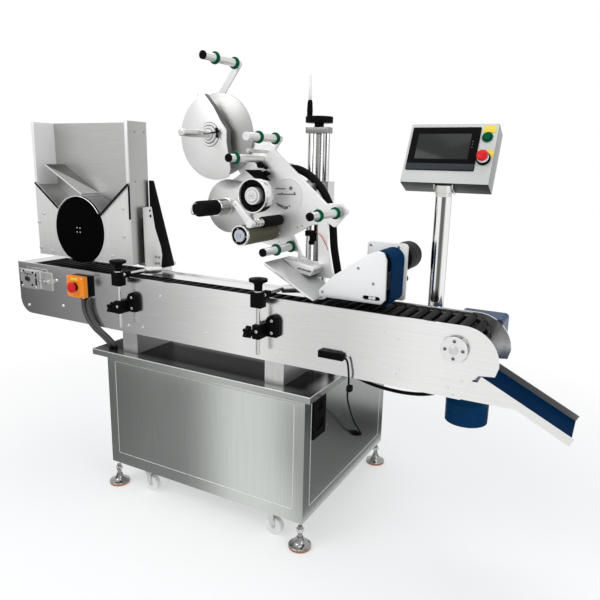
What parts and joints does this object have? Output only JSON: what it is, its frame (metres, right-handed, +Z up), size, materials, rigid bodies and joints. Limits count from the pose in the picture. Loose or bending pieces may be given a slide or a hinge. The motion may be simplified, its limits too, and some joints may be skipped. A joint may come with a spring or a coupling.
{
  "type": "round bottle labeling machine",
  "caption": "Free-standing bench-height labeller for round bottles with a roller chain conveyor, feed hopper, label head on a lift column, press belt unit, operator console and outlet chute.",
  "frame": {"origin": "on the floor under the middle of the machine's overall footprint", "axes": "+X along the conveyor in the bottles' direction of travel, +Y from the operator side to the rear, +Z up"},
  "size_m": [2.0794, 0.821, 1.579],
  "materials": {
    "brushed_stainless": "brushed",
    "anodised_plate": "satin",
    "bright_steel": "polished",
    "roller_steel": "turned",
    "black_plastic": "matt",
    "black_paint": "satin",
    "orange_plastic": "glossy",
    "red_plastic": "glossy",
    "green_plastic": "glossy",
    "motor_blue": "gloss paint",
    "navy_belt": "matt",
    "black_rubber": "matt",
    "caster_rubber": "matt",
    "olive_rubber": "matt",
    "console_grey": "satin"
  },
  "bodies": {
    "machine_base": {"cabinet_frame": "brushed_stainless", "cabinet_panels": "brushed_stainless", "table_top": "brushed_stainless", "power_inlet": "black_plastic", "levelling_feet": "bright_steel", "front_side_plate": "anodised_plate", "rear_side_plate": "anodised_plate", "conveyor_supports": "brushed_stainless", "carrier_chain": "bright_steel", "carrier_rollers": "roller_steel", "shaft_bearings": "anodised_plate", "drive_gearmotor": "motor_blue", "outlet_chute": "anodised_plate", "stop_box": "orange_plastic", "sensor_amplifier": "black_plastic", "control_cables": "black_rubber", "guide_brackets": "black_plastic", "hopper_shell": "anodised_plate", "hopper_front": "anodised_plate", "hopper_baffles": "brushed_stainless", "support_brackets": "black_paint", "feed_motor": "black_paint", "column_stand": "bright_steel", "head_hose": "black_rubber", "console_post": "brushed_stainless"},
    "drive_shaft": {"drive_shaft": "bright_steel"},
    "tail_shaft": {"tail_shaft": "bright_steel"},
    "feed_wheel": {"feed_wheel": "black_plastic"},
    "stop_button": {"stop_box_button": "red_plastic"},
    "left_guide": {"guide_post_left": "bright_steel"},
    "right_guide": {"guide_post_right": "bright_steel"},
    "handwheel": {"handwheel": "black_plastic"},
    "head": {"lift_carriage": "anodised_plate", "head_plate": "anodised_plate", "head_drive": "brushed_stainless", "peel_plate": "anodised_plate"},
    "dancer": {"dancer_arm": "anodised_plate"},
    "supply_reel": {"supply_reel": "bright_steel"},
    "rewind_reel": {"rewind_reel": "bright_steel"},
    "traction_roller": {"traction_roller": "olive_rubber"},
    "pinch_roller": {"pinch_roller": "black_rubber"},
    "brake_wheel": {"brake_wheel": "black_plastic"},
    "press_unit": {"press_unit": "anodised_plate", "press_belt": "navy_belt"},
    "console": {"console_box": "console_grey"},
    "start_button": {"start_button": "green_plastic"},
    "console_stop": {"console_stop_button": "red_plastic"},
    "caster_fork_1": {"caster_fork_1": "brushed_stainless"},
    "caster_wheel_1": {"caster_wheel_1": "caster_rubber"},
    "caster_fork_2": {"caster_fork_2": "brushed_stainless"},
    "caster_wheel_2": {"caster_wheel_2": "caster_rubber"},
    "caster_fork_3": {"caster_fork_3": "brushed_stainless"},
    "caster_wheel_3": {"caster_wheel_3": "caster_rubber"},
    "caster_fork_4": {"caster_fork_4": "brushed_stainless"},
    "caster_wheel_4": {"caster_wheel_4": "caster_rubber"},
    "guide_roller_1": {"guide_roller_1": "roller_steel"},
    "guide_roller_2": {"guide_roller_2": "roller_steel"},
    "guide_roller_3": {"guide_roller_3": "roller_steel"},
    "guide_roller_4": {"guide_roller_4": "roller_steel"},
    "guide_roller_5": {"guide_roller_5": "roller_steel"}
  },
  "joints": [
    {"name": "caster_swivel_1", "type": "hinge", "parent": "machine_base", "child": "caster_fork_1", "pos_m": [-0.41865, -0.2975, 0.087], "axis": [0, 0, 1], "continuous": true},
    {"name": "caster_roll_1", "type": "hinge", "parent": "caster_fork_1", "child": "caster_wheel_1", "pos_m": [-0.39665, -0.2975, 0.0335], "axis": [0, 1, 0], "continuous": true},
    {"name": "caster_swivel_2", "type": "hinge", "parent": "machine_base", "child": "caster_fork_2", "pos_m": [0.13135, -0.2975, 0.087], "axis": [0, 0, 1], "continuous": true},
    {"name": "caster_roll_2", "type": "hinge", "parent": "caster_fork_2", "child": "caster_wheel_2", "pos_m": [0.15335, -0.2975, 0.0335], "axis": [0, 1, 0], "continuous": true},
    {"name": "caster_swivel_3", "type": "hinge", "parent": "machine_base", "child": "caster_fork_3", "pos_m": [0.13135, 0.3385, 0.087], "axis": [0, 0, 1], "continuous": true},
    {"name": "caster_roll_3", "type": "hinge", "parent": "caster_fork_3", "child": "caster_wheel_3", "pos_m": [0.15335, 0.3385, 0.0335], "axis": [0, 1, 0], "continuous": true},
    {"name": "caster_swivel_4", "type": "hinge", "parent": "machine_base", "child": "caster_fork_4", "pos_m": [-0.41865, 0.3385, 0.087], "axis": [0, 0, 1], "continuous": true},
    {"name": "caster_roll_4", "type": "hinge", "parent": "caster_fork_4", "child": "caster_wheel_4", "pos_m": [-0.39665, 0.3385, 0.0335], "axis": [0, 1, 0], "continuous": true},
    {"name": "drive_shaft_spin", "type": "hinge", "parent": "machine_base", "child": "drive_shaft", "pos_m": [0.72635, -0.2395, 0.776], "axis": [0, 1, 0], "continuous": true},
    {"name": "tail_shaft_spin", "type": "hinge", "parent": "machine_base", "child": "tail_shaft", "pos_m": [-0.96265, -0.2395, 0.776], "axis": [0, 1, 0], "continuous": true},
    {"name": "feed_wheel_spin", "type": "hinge", "parent": "machine_base", "child": "feed_wheel", "pos_m": [-0.72286, -0.1915, 0.98487], "axis": [0, 1, 0], "continuous": true},
    {"name": "stop_button_press", "type": "slide", "parent": "machine_base", "child": "stop_button", "axis": [0, 1, 0], "range_m": [0, 0.004], "stiffness_N_per_m": 400, "springref_m": -0.002},
    {"name": "left_guide_height", "type": "slide", "parent": "machine_base", "child": "left_guide", "axis": [0, 0, 1], "range_m": [-0.006, 0.02]},
    {"name": "right_guide_height", "type": "slide", "parent": "machine_base", "child": "right_guide", "axis": [0, 0, 1], "range_m": [-0.006, 0.02]},
    {"name": "handwheel_turn", "type": "hinge", "parent": "machine_base", "child": "handwheel", "pos_m": [0.13435, -0.0045, 1.341], "axis": [0, 0, 1], "range_deg": [-360, 7200]},
    {"name": "head_lift", "type": "slide", "parent": "machine_base", "child": "head", "axis": [0, 0, 1], "range_m": [-0.004, 0.08], "deforming": ["head_hose"]},
    {"name": "dancer_swing", "type": "hinge", "parent": "head", "child": "dancer", "pos_m": [-0.2039, -0.1485, 1.41306], "axis": [0, 1, 0], "range_deg": [-10, 10], "stiffness_Nm_per_rad": 12},
    {"name": "supply_reel_spin", "type": "hinge", "parent": "head", "child": "supply_reel", "pos_m": [-0.16753, -0.1565, 1.33589], "axis": [0, 1, 0], "continuous": true},
    {"name": "rewind_reel_spin", "type": "hinge", "parent": "head", "child": "rewind_reel", "pos_m": [-0.12778, -0.1565, 1.09906], "axis": [0, 1, 0], "continuous": true},
    {"name": "traction_roller_spin", "type": "hinge", "parent": "head", "child": "traction_roller", "pos_m": [0.04022, -0.1565, 1.02684], "axis": [0, 1, 0], "continuous": true},
    {"name": "pinch_roller_spin", "type": "hinge", "parent": "head", "child": "pinch_roller", "pos_m": [0.07309, -0.1565, 1.06465], "axis": [0, 1, 0], "continuous": true},
    {"name": "brake_wheel_spin", "type": "hinge", "parent": "head", "child": "brake_wheel", "pos_m": [0.02222, -0.1565, 1.14402], "axis": [0, 1, 0], "continuous": true},
    {"name": "guide_roller_1_spin", "type": "hinge", "parent": "dancer", "child": "guide_roller_1", "pos_m": [-0.09178, -0.2085, 1.55997], "axis": [0, 1, 0], "continuous": true},
    {"name": "guide_roller_2_spin", "type": "hinge", "parent": "head", "child": "guide_roller_2", "pos_m": [0.06047, -0.2085, 1.32491], "axis": [0, 1, 0], "continuous": true},
    {"name": "guide_roller_3_spin", "type": "hinge", "parent": "head", "child": "guide_roller_3", "pos_m": [-0.00478, -0.2085, 1.26084], "axis": [0, 1, 0], "continuous": true},
    {"name": "guide_roller_4_spin", "type": "hinge", "parent": "head", "child": "guide_roller_4", "pos_m": [0.28022, -0.2085, 1.09906], "axis": [0, 1, 0], "continuous": true},
    {"name": "guide_roller_5_spin", "type": "hinge", "parent": "head", "child": "guide_roller_5", "pos_m": [0.12047, -0.2085, 0.98012], "axis": [0, 1, 0], "continuous": true},
    {"name": "press_unit_height", "type": "slide", "parent": "machine_base", "child": "press_unit", "axis": [0, 0, 1], "range_m": [-0.004, 0.06]},
    {"name": "console_swivel", "type": "hinge", "parent": "machine_base", "child": "console", "pos_m": [0.60235, -0.1045, 1.172], "axis": [0, 0, 1], "range_deg": [-60, 60]},
    {"name": "start_button_press", "type": "slide", "parent": "console", "child": "start_button", "axis": [0, 0.8957, -0.4446], "range_m": [0, 0.004], "stiffness_N_per_m": 250, "springref_m": -0.001},
    {"name": "console_stop_press", "type": "slide", "parent": "console", "child": "console_stop", "axis": [0, 0.8957, -0.4446], "range_m": [0, 0.004], "stiffness_N_per_m": 400, "springref_m": -0.001}
  ],
  "couplings": [
    {"joint": "handwheel_turn", "follows": "head_lift", "rad_per_m": 1570.8},
    {"joint": "tail_shaft_spin", "follows": "drive_shaft_spin", "ratio": 1},
    {"joint": "pinch_roller_spin", "follows": "traction_roller_spin", "ratio": -1.8286}
  ]
}
